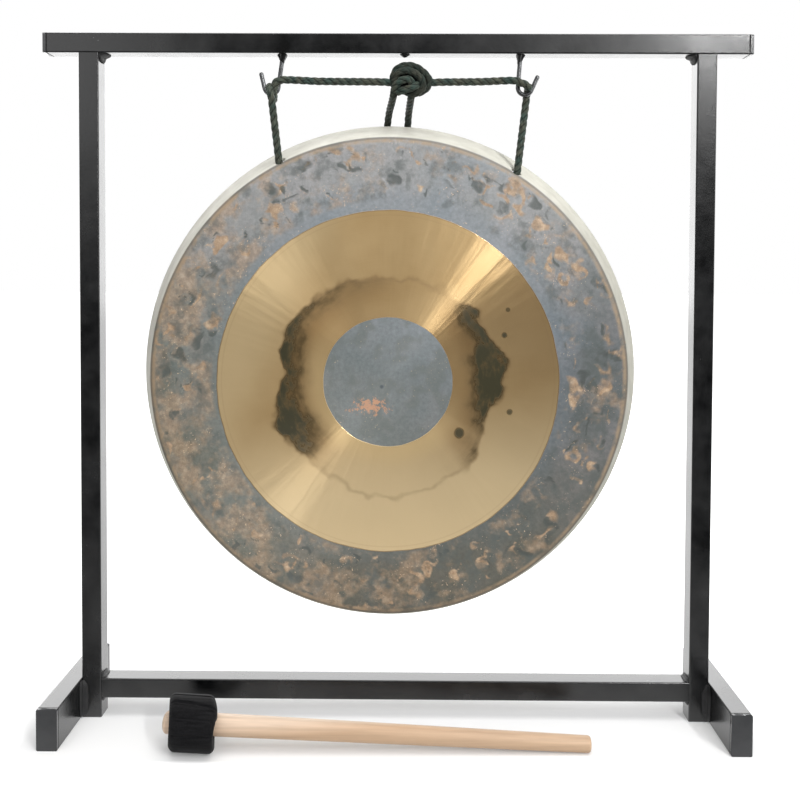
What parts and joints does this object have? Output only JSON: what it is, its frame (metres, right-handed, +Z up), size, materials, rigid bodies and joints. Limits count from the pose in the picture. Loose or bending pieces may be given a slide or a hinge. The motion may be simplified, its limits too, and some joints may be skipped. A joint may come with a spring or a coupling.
{
  "type": "gong stand",
  "caption": "Table-top gong: a welded square-tube stand with two wire hooks, a bronze gong slung on a knotted cord, and a padded wooden mallet lying in front of it.",
  "frame": {"origin": "on the surface that the set stands on, under the middle of the set's box: the stand's middle from side to side, and half way from the mallet's head to the back ends of the feet", "axes": "+X to the viewer's right along the beam, +Y from the gong's face to its back, +Z up"},
  "size_m": [0.452, 0.1057, 0.442],
  "materials": {
    "black_coat": "semi-gloss black powder coat on mild steel tube",
    "weld_bead": "weld bead under the same black coat",
    "hook_wire": "black coated round steel wire, worn greyer than the frame",
    "end_plug": "black plastic plug, flush with the tube",
    "bronze": "hammered bronze with a slate grey patina, a polished turned ring on its face",
    "cord": "black laid cord of three strands",
    "felt": "black felt wrap",
    "head_core": "plain turned core",
    "beech": "plain sanded beech"
  },
  "bodies": {
    "stand": {"top_beam": "black_coat", "beam_cap_left": "end_plug", "beam_cap_right": "end_plug", "upright_left": "black_coat", "upright_right": "black_coat", "bottom_rail": "black_coat", "foot_left": "black_coat", "foot_cap_left_front": "end_plug", "foot_cap_left_back": "end_plug", "foot_right": "black_coat", "foot_cap_right_front": "end_plug", "foot_cap_right_back": "end_plug", "beam_weld_left": "weld_bead", "beam_weld_right": "weld_bead", "rail_weld_top_left": "weld_bead", "rail_weld_under_left": "weld_bead", "rail_weld_top_right": "weld_bead", "rail_weld_under_right": "weld_bead", "foot_weld_left_front": "weld_bead", "foot_weld_left_back": "weld_bead", "foot_weld_right_front": "weld_bead", "foot_weld_right_back": "weld_bead", "hook_left": "hook_wire", "hook_right": "hook_wire", "hook_weld_left": "weld_bead", "hook_weld_right": "weld_bead", "beam_nub": "weld_bead", "cord_run_left": "cord", "cord_run_right": "cord", "cord_knot": "cord"},
    "sling": {"cord_sling": "cord", "cord_tail_left": "cord", "cord_tail_right": "cord"},
    "gong": {"gong": "bronze"},
    "mallet": {"mallet_handle": "beech", "mallet_head_wrap": "felt", "mallet_head_core": "head_core"}
  },
  "joints": [
    {"name": "gong_swing", "type": "hinge", "parent": "stand", "child": "sling", "pos_m": [0, 0.00685, 0.4045], "axis": [1, 0, 0], "range_deg": [-20, 20]},
    {"name": "gong_tilt", "type": "hinge", "parent": "sling", "child": "gong", "pos_m": [0.00072, 0.00685, 0.35451], "axis": [0.9991, 0, -0.0422], "range_deg": [-6, 6]},
    {"name": "mallet_lift", "type": "slide", "parent": "stand", "child": "mallet", "axis": [0, -0.9397, 0.342], "range_m": [0, 0.3]}
  ]
}
